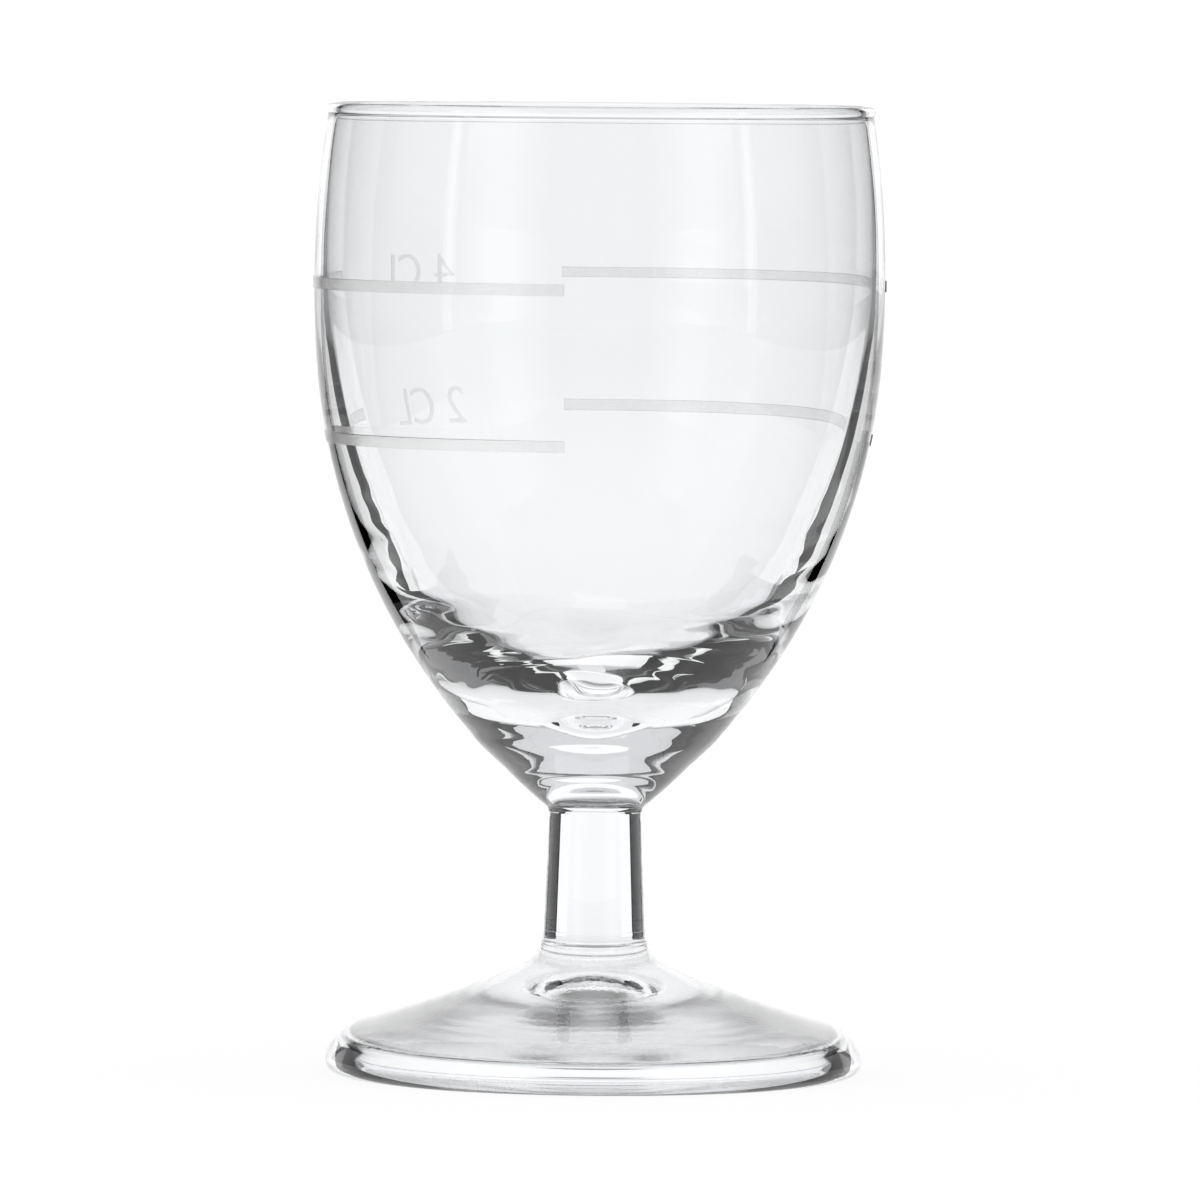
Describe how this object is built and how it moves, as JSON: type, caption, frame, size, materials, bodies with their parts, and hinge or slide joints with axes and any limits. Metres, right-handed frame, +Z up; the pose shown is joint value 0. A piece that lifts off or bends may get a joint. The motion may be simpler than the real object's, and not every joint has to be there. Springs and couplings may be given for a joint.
{
  "type": "cordial glass",
  "caption": "Small stemmed cordial glass with an egg-shaped thick-based bowl, short solid stem, flared foot with a recessed underside and printed fill lines.",
  "frame": {"origin": "middle of the foot's standing ring, on the surface that the glass stands on", "axes": "+Z up along the stem, -Y towards the front of the picture, +X to its right"},
  "size_m": [0.0502, 0.0501, 0.085],
  "materials": {
    "glass": "clear, fire polished",
    "enamel": "opaque fired enamel, satin"
  },
  "bodies": {
    "root": {"bowl": "glass", "stem": "glass", "foot": "glass", "fill_line_4cl_front": "enamel", "fill_line_4cl_back": "enamel", "fill_line_2cl_front": "enamel", "fill_line_2cl_back": "enamel"}
  },
  "joints": []
}
